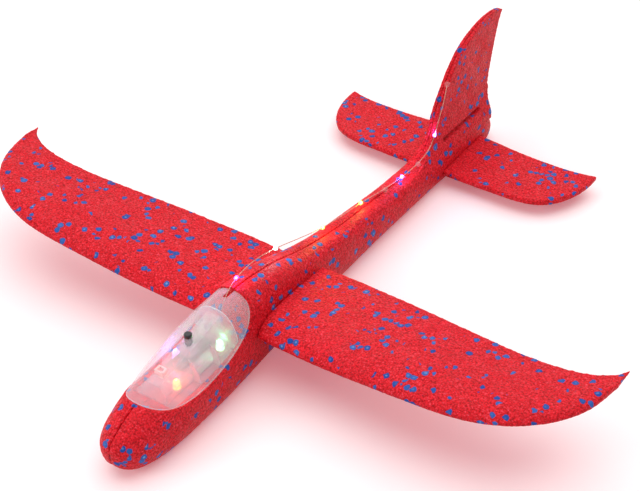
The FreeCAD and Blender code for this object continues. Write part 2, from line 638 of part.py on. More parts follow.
def bead_centre(spine, index):
    """Point of the wire nearest to the named corner of its route."""
    corner = Part.Vertex(vec(*WIRE_PATH[index]))
    return spine.distToShape(corner)[1][0][0]


def glue_dabs(spine, body, beads):
    """Clear dabs that hold the wire down on the foam."""
    dabs = []
    for index in DAB_AT:
        at = bead_centre(spine, index)
        dab = Part.makeSphere(2.2, at - vec(0, -0.3, 1.0) if index < DAB_AT[-1] else at + vec(-0.6, 1.2, 0))
        dabs.append(one_solid(dab.cut(body)))
    return dabs


def save(name, shape):
    shape.exportStep("parts/%s.step" % name)
    print("%-16s vol %10.1f solids %d valid %s box %s" % (
        name, shape.Volume, len(shape.Solids), shape.isValid(),
        ["%.1f" % v for v in (shape.BoundBox.XMin, shape.BoundBox.XMax, shape.BoundBox.YMin,
                              shape.BoundBox.YMax, shape.BoundBox.ZMin, shape.BoundBox.ZMax)]))


def main():
    os.makedirs("parts", exist_ok=True)
    body = fuselage()
    left = one_solid(body.common(box(0, 60, NOSE_Y - 5, TAIL_Y + 5, -5, 150)))
    right = one_solid(body.common(box(-60, 0, NOSE_Y - 5, TAIL_Y + 5, -5, 150)))
    parts = {"fuselage_left": left, "fuselage_right": right}
    panel = wing_panel(hull(PART_GAP))
    parts["wing_left"] = panel
    parts["wing_right"] = mirror_x(panel)
    parts["tailplane"] = tailplane()
    parts["canopy"] = canopy()
    parts["battery_tub"] = battery_tub()
    parts["battery_lid"] = battery_lid()
    parts["lid_screw"] = lid_screw()
    for i in range(CELL_COUNT):
        parts["battery_cell_%d" % (i + 1)] = cell(i)
    parts["contact_spring"] = contact_spring()
    parts["contact_plate"] = contact_plate()
    parts["light_housing"] = light_housing()
    parts["canopy_latch"] = canopy_latch()
    parts["circuit_board"] = circuit_board()
    parts["switch_body"] = switch_body()
    parts["switch_button"] = switch_button()
    parts["lamp_green"] = led(*GREEN_AT)
    parts["lamp_orange"] = led(*ORANGE_AT)
    parts["lamp_violet"] = led(*VIOLET_AT)
    parts["nose_weight"] = cylinder(SLUG_DIAMETER / 2, SLUG_LENGTH, (0, SLUG_FRONT, SLUG_Z), (0, 1, 0))
    spine, wire = light_wire()
    wire = one_solid(wire)
    parts["light_wire"] = wire
    beads = []
    for i, index in enumerate(BEAD_AT):
        bead = Part.makeSphere(BEAD_RADIUS, bead_centre(spine, index))
        bead = one_solid(bead.cut(wire).cut(body))
        beads.append(bead)
        parts["light_bead_%d" % (i + 1)] = bead
    dabs = [one_solid(d.cut(wire)) for d in glue_dabs(spine, body, beads)]
    parts["glue_dabs"] = Part.makeCompound(dabs)
    for name, shape in parts.items():
        save(name, shape)
    section_area = math.pi * (WIRE_DIAMETER / 2) ** 2
    print("wire length %.2f, volume %.2f, section x length %.2f" % (
        spine.Length, wire.Volume, section_area * spine.Length))


if __name__ == "__main__":
    main()
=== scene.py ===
"""Looks of a moulded bead foam hand glider with a lit cockpit and a string of lamps."""

import logging
import math
import random
from dataclasses import dataclass, field
from enum import Enum
from typing import Any, Optional

import bmesh
import bpy
from mathutils import Matrix, Vector


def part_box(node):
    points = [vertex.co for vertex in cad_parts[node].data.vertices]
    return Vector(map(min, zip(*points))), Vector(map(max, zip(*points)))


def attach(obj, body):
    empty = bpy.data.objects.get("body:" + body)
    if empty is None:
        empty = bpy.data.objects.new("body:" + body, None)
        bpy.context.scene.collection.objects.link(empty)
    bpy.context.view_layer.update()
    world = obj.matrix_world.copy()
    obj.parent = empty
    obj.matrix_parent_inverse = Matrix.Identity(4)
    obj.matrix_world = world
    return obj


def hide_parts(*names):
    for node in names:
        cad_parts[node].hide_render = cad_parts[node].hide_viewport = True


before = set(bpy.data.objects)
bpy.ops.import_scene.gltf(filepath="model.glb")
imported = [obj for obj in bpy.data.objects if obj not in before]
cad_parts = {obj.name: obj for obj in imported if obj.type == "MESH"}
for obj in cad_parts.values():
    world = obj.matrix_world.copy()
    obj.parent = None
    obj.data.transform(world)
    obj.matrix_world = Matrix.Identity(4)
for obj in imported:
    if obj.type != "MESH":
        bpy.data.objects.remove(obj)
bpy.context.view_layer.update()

LOG = logging.getLogger("glider")
MM = 0.001
WHITE = (1.0, 1.0, 1.0)

Colour = tuple[float, float, float]
Place = tuple[float, float, float]
Range = tuple[float, float]
Socket = bpy.types.NodeSocket
Tree = bpy.types.NodeTree
Node = bpy.types.Node
Mesh = bpy.types.Mesh
Object = bpy.types.Object
Material = bpy.types.Material
Value = Any


# --- wiring helpers ---
@dataclass
class Wiring:
    """Short calls that add and join nodes in one tree.

    Args:
        tree: The material, group or modifier tree that receives the nodes.
    """

    tree: Tree

    def node(self, kind: str, settings: Optional[dict[str, Value]] = None,
             inputs: Optional[dict[Any, Value]] = None) -> Node:
        """Adds one node.

        Args:
            kind: Blender's name for the type of node.
            settings: Properties to set on the node itself.
            inputs: Values or sockets for its inputs, by name or number.

        Returns:
            The new node.
        """
        made = self.tree.nodes.new(kind)
        for name, value in (settings or {}).items():
            setattr(made, name, value)
        self.feeds(made, inputs or {})
        return made

    def feed(self, into: Socket, value: Value) -> None:
        """Gives an input a constant, or joins a socket to it."""
        if isinstance(value, Socket):
            self.tree.links.new(value, into)
        elif isinstance(value, tuple) and len(value) == 3 and into.type == "RGBA":
            into.default_value = (*value, 1.0)
        else:
            into.default_value = value

    def feeds(self, node: Node, inputs: dict[Any, Value]) -> None:
        """Gives several inputs of one node their values or sockets."""
        for name, value in inputs.items():
            self.feed(node.inputs[name], value)

    def sum(self, operation: str, first: Value, second: Value = 0.0, clamp: bool = False) -> Socket:
        """Does one step of arithmetic.

        Args:
            operation: Name of the step, such as MULTIPLY.
            first: First value or socket.
            second: Second value or socket.
            clamp: Keeps the answer between 0 and 1.

        Returns:
            The socket that holds the answer.
        """
        return self.node("ShaderNodeMath", {"operation": operation, "use_clamp": clamp},
                         {0: first, 1: second}).outputs[0]

    def vector(self, operation: str, first: Socket, second: Value) -> Socket:
        """Does one step of arithmetic on a position or direction."""
        step = self.node("ShaderNodeVectorMath", {"operation": operation}, {0: first})
        self.feed(step.inputs["Scale" if operation == "SCALE" else 1], second)
        return step.outputs[0]

    def spread(self, value: Socket, low: float, high: float, out_low: float = 0.0,
               out_high: float = 1.0) -> Socket:
        """Stretches low..high of a value over out_low..out_high, held at both ends."""
        return self.node("ShaderNodeMapRange", {"clamp": True},
                         {0: value, 1: low, 2: high, 3: out_low, 4: out_high}).outputs[0]

    def between(self, share: Socket, ends: Range) -> Socket:
        """Turns a share from 0 to 1 into a value between two ends."""
        return self.spread(share, 0.0, 1.0, *ends)

    def some(self, share: Socket, part: float) -> Socket:
        """Takes a part of a share."""
        return self.sum("MULTIPLY", share, part)

    def tint(self, share: Value, first: Value, second: Value) -> Socket:
        """Mixes two colours by a share of the second."""
        step = self.node("ShaderNodeMix", {"data_type": "RGBA", "clamp_factor": True},
                         {0: share, 6: first, 7: second})
        return step.outputs[2]

    def noise(self, where: Socket, size: float, detail: float = 2.0, rough: float = 0.5) -> Node:
        """Adds cloudy noise whose patches are about size metres across."""
        return self.node("ShaderNodeTexNoise", {"noise_dimensions": "3D"},
                         {"Vector": where, "Scale": 1.0 / size, "Detail": detail, "Roughness": rough})


@dataclass(frozen=True)
class BeadPacking:
    """How the foam's beads pack together, for the relief and for the colour alike.

    Args:
        size: Width of one bead, in metres.
        bend_size: Size of the waves that bend the beads' joints, in metres.
        bend: How far those waves push a joint, in metres.
        looseness: How far the packing is from an even grid, from 0 to 1.
    """

    size: float = 4.1 * MM
    bend_size: float = 3.0 * MM
    bend: float = 1.5 * MM
    looseness: float = 0.95

    def bent(self, wiring: Wiring, where: Socket) -> Socket:
        """Pushes a position about by the bending waves.

        Args:
            wiring: The tree to build in.
            where: The socket with the position in the object.

        Returns:
            The socket with the pushed position.
        """
        waves = wiring.noise(where, self.bend_size, 1.0)
        centred = wiring.vector("SUBTRACT", waves.outputs["Color"], (0.5, 0.5, 0.5))
        return wiring.vector("ADD", where, wiring.vector("SCALE", centred, self.bend))

    def cells(self, wiring: Wiring, where: Socket, feature: str) -> Node:
        """Adds the packing itself: F1 for each bead's own colour, DISTANCE_TO_EDGE for joints."""
        return wiring.node("ShaderNodeTexVoronoi", {"feature": feature, "voronoi_dimensions": "3D"},
                           {"Vector": where, "Scale": 1.0 / self.size, "Randomness": self.looseness})


PACKING = BeadPacking()


# --- shader groups shared by the finishes ---
def new_group(name: str, inputs: dict[str, tuple[str, float]],
              outputs: dict[str, str]) -> tuple[Tree, Wiring, Node, Node]:
    """Starts a shader group with named sockets.

    Args:
        name: Name of the group.
        inputs: Socket type and starting value for each input.
        outputs: Socket type for each output.

    Returns:
        The group, its wiring, and its input and output nodes.
    """
    group = bpy.data.node_groups.new(name, "ShaderNodeTree")
    for label, (kind, start) in inputs.items():
        socket = group.interface.new_socket(name=label, in_out="INPUT", socket_type=kind)
        socket.default_value = start
    for label, kind in outputs.items():
        group.interface.new_socket(name=label, in_out="OUTPUT", socket_type=kind)
    wiring = Wiring(group)
    return group, wiring, wiring.node("NodeGroupInput"), wiring.node("NodeGroupOutput")


PATCH_SIZE = 0.09  # fineness of the patches, as a share of the grain's
DUST_GRAINS = 900.0  # specks of dust a metre


def surface_grain_group() -> Tree:
    """Builds the fine grain of a moulded or drawn surface.

    Returns:
        A group that turns Fineness and Stretch into Height, Patch and Glint Speck, the mask for painted
        glint specks.
    """
    group, wiring, given, result = new_group(
        "surface_grain",
        {"Fineness": ("NodeSocketFloat", 2500.0), "Stretch": ("NodeSocketFloat", 1.0)},
        {"Height": "NodeSocketFloat", "Patch": "NodeSocketFloat", "Glint Speck": "NodeSocketFloat"})
    where = wiring.node("ShaderNodeTexCoord").outputs["Object"]
    drawn = wiring.node("ShaderNodeCombineXYZ", None, {0: 1.0, 1: given.outputs["Stretch"], 2: 1.0})
    scaled = wiring.vector("MULTIPLY", where, drawn.outputs[0])
    fineness = given.outputs["Fineness"]
    fine = wiring.node("ShaderNodeTexNoise", None,
                       {"Vector": scaled, "Scale": fineness, "Detail": 3.0, "Roughness": 0.6})
    coarse = wiring.node("ShaderNodeTexNoise", None,
                         {"Vector": scaled, "Scale": wiring.some(fineness, PATCH_SIZE), "Detail": 2.0})
    wiring.feed(result.inputs["Height"], fine.outputs[0])
    wiring.feed(result.inputs["Patch"], wiring.spread(coarse.outputs[0], 0.36, 0.66))
    # Glint Speck: mask of fine specks that the foam paints as highlights
    wiring.feed(result.inputs["Glint Speck"], wiring.spread(fine.outputs[0], 0.57, 0.72))
    return group


def handling_group() -> Tree:
    """Builds the smears and fine dust that handling leaves on a glossy surface.

    Returns:
        A group that turns Reach into Smear and Dust.
    """
    group, wiring, given, result = new_group(
        "handling", {"Reach": ("NodeSocketFloat", 60.0)},
        {"Smear": "NodeSocketFloat", "Dust": "NodeSocketFloat"})
    where = wiring.node("ShaderNodeTexCoord").outputs["Object"]
    broad = wiring.node("ShaderNodeTexNoise", None, {"Vector": where, "Scale": given.outputs["Reach"],
                                                     "Detail": 4.0, "Distortion": 1.4})
    dots = wiring.node("ShaderNodeTexVoronoi", None, {"Vector": where, "Scale": DUST_GRAINS})
    wiring.feed(result.inputs["Smear"], wiring.spread(broad.outputs[0], 0.45, 0.75))
    wiring.feed(result.inputs["Dust"], wiring.spread(dots.outputs["Distance"], 0.16, 0.05))
    return group


# --- finishes ---
class Grain(Enum):
    """How a mould leaves a surface: number of grains a metre, depth in metres."""

    POLISHED = (900.0, 0.01 * MM)
    SATIN = (2600.0, 0.007 * MM)
    SPARKED = (3800.0, 0.02 * MM)


@dataclass
class Finishes:
    """The shared groups, and every material by its slot.

    Args:
        grain: The surface grain group.
        handling: The group of smears and dust.
        made: Materials built so far.
    """

    grain: Tree = field(default_factory=surface_grain_group)
    handling: Tree = field(default_factory=handling_group)
    made: dict[str, Material] = field(default_factory=dict)

    def start(self, slot: str) -> tuple[Material, Wiring, Node]:
        """Starts a material with one surface shader.

        Args:
            slot: Name of the material slot in the record.

        Returns:
            The material, its wiring and its Principled shader.
        """
        material = bpy.data.materials.new(slot)
        material.use_nodes = True
        material.node_tree.nodes.clear()
        wiring = Wiring(material.node_tree)
        shader = wiring.node("ShaderNodeBsdfPrincipled")
        output = wiring.node("ShaderNodeOutputMaterial")
        wiring.feed(output.inputs["Surface"], shader.outputs[0])
        self.made[slot] = material
        return material, wiring, shader

    def grained(self, wiring: Wiring, fineness: float, stretch: float = 1.0) -> Node:
        """Places the surface grain group with its own values."""
        return wiring.node("ShaderNodeGroup", {"node_tree": self.grain},
                           {"Fineness": fineness, "Stretch": stretch})

    def handled(self, wiring: Wiring, reach: float) -> Node:
        """Places the handling group with its own value."""
        return wiring.node("ShaderNodeGroup", {"node_tree": self.handling}, {"Reach": reach})


def bumped(wiring: Wiring, shader: Node, height: Socket, depth: float,
           under: Optional[Socket] = None) -> Socket:
    """Gives a shader a bump.

    Args:
        wiring: The material's wiring.
        shader: The shader that takes the normal.
        height: The height, from 0 to 1.
        depth: Depth of that height, in metres.
        under: A normal that the bump lies on.

    Returns:
        The socket with the bumped normal.
    """
    bump = wiring.node("ShaderNodeBump", None, {"Strength": 1.0, "Distance": depth, "Height": height})
    if under is not None:
        wiring.feed(bump.inputs["Normal"], under)
    wiring.feed(shader.inputs["Normal"], bump.outputs[0])
    return bump.outputs[0]


@dataclass(frozen=True)
class BeadFoam:
    """Skin of steam-moulded bead foam: red beads with a few blue ones among them.

    Args:
        slot: Material slot.
        red: Plain colour of a bead.
        deep: Colour of its joints and darker beads.
        painted_glint: Pale pink painted onto the skin as fine highlights, where a shiny skin would catch
            light.
        fleck: Colour of a blue bead.
        fleck_pale_and_glint: Colour of a lighter blue bead, and of the painted glint specks on blue beads.
        fleck_painted_glint: Colour of the painted highlight in the middle of a blue bead.
        share: Share of beads that are blue.
        fleck_reach: How far from its middle a blue bead shows, in bead sizes.
        crease: Half width of the joint between two beads, in bead sizes.
        crease_depth: Depth of that joint, in metres.
        mottle_and_glint: Size of the fine dark mottling of the skin and of the painted highlights among it,
            in metres.
        flock: Size of the drifts in which blue beads are thicker or thinner, in metres.
        rough: Lowest and highest roughness.
        gloss: Strength of the skin's shine.
        pitting: Depth of the finest pits, in metres.
        pits: Number of those pits a metre.
    """

    slot: str = "bead_foam"
    red: Colour = (0.87, 0.010, 0.022)
    deep: Colour = (0.36, 0.003, 0.006)
    painted_glint: Colour = (0.98, 0.14, 0.21)
    fleck: Colour = (0.010, 0.056, 0.31)
    fleck_pale_and_glint: Colour = (0.07, 0.20, 0.58)
    fleck_painted_glint: Colour = (0.30, 0.52, 0.86)
    share: float = 0.12
    fleck_reach: float = 0.62
    crease: float = 0.09
    crease_depth: float = 0.16 * MM
    mottle_and_glint: float = 1.3 * MM
    flock: float = 26 * MM
    rough: Range = (0.36, 0.56)
    gloss: float = 0.14
    pitting: float = 0.42 * MM
    pits: float = 1150.0

    def build(self, finishes: Finishes) -> Material:
        """Builds the material.

        Args:
            finishes: The set that it joins.

        Returns:
            The finished material.
        """
        material, wiring, shader = finishes.start(self.slot)
        where = wiring.node("ShaderNodeTexCoord").outputs["Object"]
        bent = PACKING.bent(wiring, where)
        bead = PACKING.cells(wiring, bent, "F1")
        joint = PACKING.cells(wiring, bent, "DISTANCE_TO_EDGE")
        own = wiring.node("ShaderNodeSeparateColor", None, {0: bead.outputs["Color"]})
        grain = finishes.grained(wiring, self.pits)
        glint_speck = grain.outputs["Glint Speck"]
        groove = wiring.spread(joint.outputs["Distance"], 0.0, self.crease, 1.0, 0.0)
        # a different share of blue beads from drift to drift
        flock = wiring.noise(where, self.flock, 1.0)
        share = wiring.spread(flock.outputs[0], 0.3, 0.7, self.share * 0.45, self.share * 1.6)
        chosen = wiring.sum("LESS_THAN", own.outputs[0], share)
        round_edge = wiring.spread(bead.outputs["Distance"], self.fleck_reach, self.fleck_reach - 0.05)
        blue = wiring.sum("MULTIPLY", chosen, round_edge)
        # red beads: a few darker ones and dark mottling; the pale patches and pale specks are painted
        # highlights
        mottle_and_glint = wiring.noise(where, self.mottle_and_glint, 2.0, 0.6).outputs[0]
        body = wiring.tint(wiring.some(own.outputs[1], 0.22), self.red, self.deep)
        body = wiring.tint(wiring.spread(mottle_and_glint, 0.50, 0.34), body, self.deep)
        # painted highlights: pale pink in the light end of the mottle and in fine specks, where the skin
        # would catch light
        body = wiring.tint(wiring.spread(mottle_and_glint, 0.58, 0.78, 0.0, 0.8), body, self.painted_glint)
        body = wiring.tint(wiring.some(glint_speck, 0.28), body, self.painted_glint)
        # blue beads: some lighter, some with a painted highlight in the middle, all with painted glint
        # specks
        glint_spot = wiring.spread(bead.outputs["Distance"], 0.30, 0.05, 0.0, 0.75)
        chip = wiring.tint(wiring.some(own.outputs[2], 0.55), self.fleck, self.fleck_pale_and_glint)
        # painted highlight in the middle of some blue beads
        chip = wiring.tint(wiring.sum("MULTIPLY", glint_spot, own.outputs[1]), chip, self.fleck_painted_glint)
        # painted glint specks on the blue beads
        chip = wiring.tint(wiring.some(glint_speck, 0.4), chip, self.fleck_pale_and_glint)
        skin = wiring.tint(blue, body, chip)
        skin = wiring.tint(wiring.some(groove, 0.42), skin, wiring.tint(0.75, skin, self.deep))
        wiring.feeds(shader, {"Base Color": skin, "Specular IOR Level": self.gloss,
                              "Roughness": wiring.between(grain.outputs["Patch"], self.rough)})
        under = bumped(wiring, shader, wiring.sum("SUBTRACT", 1.0, groove), self.crease_depth)
        bumped(wiring, shader, grain.outputs["Height"], self.pitting, under)
        return material


@dataclass(frozen=True)
class ClearShell:
    """Thin blown shell, faintly milky, whose edges turn whiter.

    Args:
        slot: Material slot.
        colour: Colour of the haze.
        smeared: Colour of the haze where fingers have been.
        haze: How much of what lies behind the haze hides, seen straight on.
        edge: The same, seen along the surface.
        rough: Lowest and highest roughness.
        gloss: Strength of the shell's shine.
        waviness: Depth of the slow waves that blowing leaves, in metres.
        waves: Number of those waves a metre.
    """

    slot: str = "clear_shell"
    colour: Colour = (0.97, 0.82, 0.91)
    smeared: Colour = (0.88, 0.84, 0.90)
    haze: float = 0.16
    edge: float = 0.60
    rough: Range = (0.20, 0.34)
    gloss: float = 0.45
    waviness: float = 0.03 * MM
    waves: float = 90.0

    def build(self, finishes: Finishes) -> Material:
        """Builds the material and returns it."""
        material, wiring, shader = finishes.start(self.slot)
        smear = finishes.handled(wiring, 55.0).outputs["Smear"]
        grain = finishes.grained(wiring, self.waves)
        facing = wiring.node("ShaderNodeLayerWeight", None, {"Blend": 0.32}).outputs["Facing"]
        alpha = wiring.between(wiring.sum("POWER", facing, 2.2), (self.haze, self.edge))
        wiring.feeds(shader, {
            "Base Color": wiring.tint(smear, self.colour, self.smeared),
            "Alpha": wiring.sum("ADD", alpha, wiring.some(smear, 0.05), clamp=True),
            "Roughness": wiring.between(smear, self.rough),
            "Specular IOR Level": self.gloss})
        bumped(wiring, shader, grain.outputs["Height"], self.waviness)
        return material


@dataclass(frozen=True)
class MouldedPlastic:
    """Moulded plastic, solid or milky.

    Args:
        slot: Material slot.
        colour: Colour of the plastic.
        rough: Lowest roughness.
        grain: How the mould leaves it.
        milk: How far light travels inside it, in metres; 0 for a solid colour.
        alpha: How much it hides what lies behind it.
        glow: Strength of a painted glow in the plastic's own colour, standing in for the lamp light that
            shines into it.
    """

    slot: str
    colour: Colour
    rough: float = 0.35
    grain: Grain = Grain.SATIN
    milk: float = 0.0
    alpha: float = 1.0
    glow: float = 0.0

    def build(self, finishes: Finishes) -> Material:
        """Builds the material and returns it."""
        material, wiring, shader = finishes.start(self.slot)
        fineness, depth = self.grain.value
        grain = finishes.grained(wiring, fineness)
        smear = finishes.handled(wiring, 90.0)
        dim = tuple(0.86 * part for part in self.colour)
        dusty = tuple(0.8 * part + 0.12 for part in self.colour)
        tone = wiring.tint(wiring.some(grain.outputs["Patch"], 0.6), self.colour, dim)
        tone = wiring.tint(wiring.some(smear.outputs["Dust"], 0.35), tone, dusty)
        rough = wiring.between(smear.outputs["Smear"], (self.rough, self.rough + 0.18))
        wiring.feeds(shader, {"Base Color": tone, "Roughness": rough})
        if self.milk:
            wiring.feeds(shader, {"Subsurface Weight": 0.85, "Subsurface Radius": (1.0, 0.95, 0.95),
                                  "Subsurface Scale": self.milk})
        # painted glow: the plastic gives off its own colour as light, at a set strength, for the lamps
        # inside
        if self.glow:
            wiring.feeds(shader, {"Emission Color": tone, "Emission Strength": self.glow})
        if self.alpha < 1.0:
            alpha = wiring.between(smear.outputs["Smear"], (self.alpha, self.alpha + 0.08))
            wiring.feed(shader.inputs["Alpha"], alpha)
        bumped(wiring, shader, grain.outputs["Height"], depth)
        return material


@dataclass(frozen=True)
class BareMetal:
    """Plated or drawn metal.

    Args:
        slot: Material slot.
        colour: Colour of the metal.
        dull: Colour of its duller patches.
        rough: Lowest roughness.
        stretch: How much the drawing marks are squeezed across Y.
    """

    slot: str
    colour: Colour
    dull: Colour
    rough: float = 0.22
    stretch: float = 1.0

    def build(self, finishes: Finishes) -> Material:
        """Builds the material and returns it."""
        material, wiring, shader = finishes.start(self.slot)
        grain = finishes.grained(wiring, 2100.0, self.stretch)
        smear = finishes.handled(wiring, 180.0)
        wiring.feeds(shader, {
            "Base Color": wiring.tint(grain.outputs["Patch"], self.colour, self.dull),
            "Metallic": 1.0,
            "Roughness": wiring.between(smear.outputs["Smear"], (self.rough, self.rough + 0.25))})
        bumped(wiring, shader, grain.outputs["Height"], 0.012 * MM)
        return material


@dataclass(frozen=True)
class LampResin:
    """Tinted resin round a lit chip.

    Args:
        slot: Material slot.
        tint: Colour of the light.
        body: Colour of the resin itself.
        glow: Strength of the glow.
        alpha: How much the resin hides its chip.
    """

    slot: str
    tint: Colour
    body: Colour
    glow: float = 1.6
    alpha: float = 0.7

    def build(self, finishes: Finishes) -> Material:
        """Builds the material and returns it."""
        material, wiring, shader = finishes.start(self.slot)
        grain = finishes.grained(wiring, 1500.0)
        smear = finishes.handled(wiring, 240.0)
        patch = grain.outputs["Patch"]
        wiring.feeds(shader, {
            "Base Color": wiring.tint(patch, self.body, self.tint),
            "Emission Color": wiring.tint(wiring.some(patch, 0.12), self.tint, WHITE),
            "Emission Strength": self.glow,
            "Roughness": wiring.between(smear.outputs["Smear"], (0.08, 0.2)),
            "Alpha": self.alpha,
            "Coat Weight": 0.5})
        bumped(wiring, shader, grain.outputs["Height"], 0.03 * MM)
        return material


@dataclass(frozen=True)
class CircuitLaminate:
    """Green solder mask over the faint lines of copper tracks.

    Args:
        slot: Material slot.
        mask: Colour of the solder mask.
        track: Colour of the mask where copper lies under it.
    """

    slot: str = "board"
    mask: Colour = (0.02, 0.16, 0.06)
    track: Colour = (0.06, 0.30, 0.11)

    def build(self, finishes: Finishes) -> Material:
        """Builds the material and returns it."""
        material, wiring, shader = finishes.start(self.slot)
        grain = finishes.grained(wiring, 1800.0)
        where = wiring.node("ShaderNodeTexCoord").outputs["Object"]
        lines = wiring.node("ShaderNodeTexVoronoi", {"feature": "DISTANCE_TO_EDGE"},
                            {"Vector": where, "Scale": 420.0, "Randomness": 0.35})
        copper = wiring.spread(lines.outputs["Distance"], 0.10, 0.16, 1.0, 0.0)
        wiring.feeds(shader, {
            "Base Color": wiring.tint(copper, self.mask, self.track),
            "Roughness": wiring.between(grain.outputs["Patch"], (0.22, 0.36)),
            "Coat Weight": 0.4})
        bumped(wiring, shader, copper, 0.03 * MM)
        return material


# --- mesh helpers ---
def place(name: str, mesh: Mesh, material: Material,
          smooth: bool = True) -> Object:
    """Puts a mesh in the scene as a dressed object.

    Args:
        name: Name of the piece.
        mesh: Its mesh, in the frame of the whole glider.
        material: Its finish.
        smooth: Shades the faces smoothly.

    Returns:
        The new object.
    """
    mesh.name = name
    mesh.materials.clear()
    mesh.materials.append(material)
    mesh.polygons.foreach_set("use_smooth", [smooth] * len(mesh.polygons))
    piece = bpy.data.objects.new(name, mesh)
    bpy.context.scene.collection.objects.link(piece)
    return piece


def baked_mesh(piece: Object) -> Mesh:
    """Gives the mesh of an object with its modifiers worked out, as a new mesh."""
    bpy.context.view_layer.update()
    return bpy.data.meshes.new_from_object(piece.evaluated_get(bpy.context.evaluated_depsgraph_get()))


def tube_mesh(name: str, centres: list[Vector], radii: list[float], sides: int) -> Mesh:
    """Builds a closed tube round a line of points.

    Args:
        name: Name of the mesh.
        centres: Points along the tube.
        radii: Radius at each point, in metres.
        sides: Corners round each ring.

    Returns:
        The mesh.
    """
    points: list[Vector] = []
    faces: list[list[int]] = []
    for ring, (centre, radius, across, up) in enumerate(zip(centres, radii, *walking_axes(centres))):
        for corner in range(sides):
            turn = math.tau * corner / sides
            points.append(centre + radius * (across * math.cos(turn) + up * math.sin(turn)))
            if ring:
                a, b = ring * sides + corner, ring * sides + (corner + 1) % sides
                faces.append([a - sides, b - sides, b, a])
    last = len(centres) - 1
    faces.append(list(range(sides))[::-1])
    faces.append([last * sides + corner for corner in range(sides)])
    mesh = bpy.data.meshes.new(name)
    mesh.from_pydata(points, [], faces)
    return mesh


def walking_axes(centres: list[Vector]) -> tuple[list[Vector], list[Vector]]:
    """Carries two crosswise axes along a line of points without twisting them.

    Args:
        centres: Points along the line.

    Returns:
        The first and the second axis at each point.
    """
    across: list[Vector] = []
    up: list[Vector] = []
    axis = Vector((1.0, 0.0, 0.0))
    for at in range(len(centres)):
        ahead = (centres[min(at + 1, len(centres) - 1)] - centres[max(at - 1, 0)]).normalized()
        axis = (axis - ahead * axis.dot(ahead)).normalized()
        across.append(axis.copy())
        up.append(ahead.cross(axis))
    return across, up


def evenly(points: list[Vector], step: float) -> list[Vector]:
    """Walks along a line of points in equal steps.

    Args:
        points: The line.
        step: Length of one step, in metres.

    Returns:
        Points a step apart, the first and the last of the line among them.
    """
    walked = [points[0]]
    left = step
    for start, end in zip(points, points[1:]):
        run = (end - start).length
        gone = 0.0
        while run - gone >= left:
            gone += left
            walked.append(start.lerp(end, gone / run))
            left = step
        left -= run - gone
    walked.append(points[-1])
    return walked


def hang(name: str, thing: bpy.types.ID, where: Vector) -> Object:
    """Puts a light or a camera in the scene.

    Args:
        name: Name of the object.
        thing: The light or camera.
        where: Its place.

    Returns:
        The object that holds it.
    """
    held = bpy.data.objects.new(name, thing)
    held.location = where
    bpy.context.scene.collection.objects.link(held)
    return held


def point_light(name: str, where: Vector, tint: Colour, power: float, radius: float) -> None:
    """Adds a small round light.

    Args:
        name: Name of the light.
        where: Its place.
        tint: Its colour.
        power: Its power, in watts.
        radius: Its radius, in metres.
    """
    lamp = bpy.data.lights.new(name, "POINT")
    lamp.color, lamp.energy, lamp.shadow_soft_size = tint, power, radius
    hang(name, lamp, where)


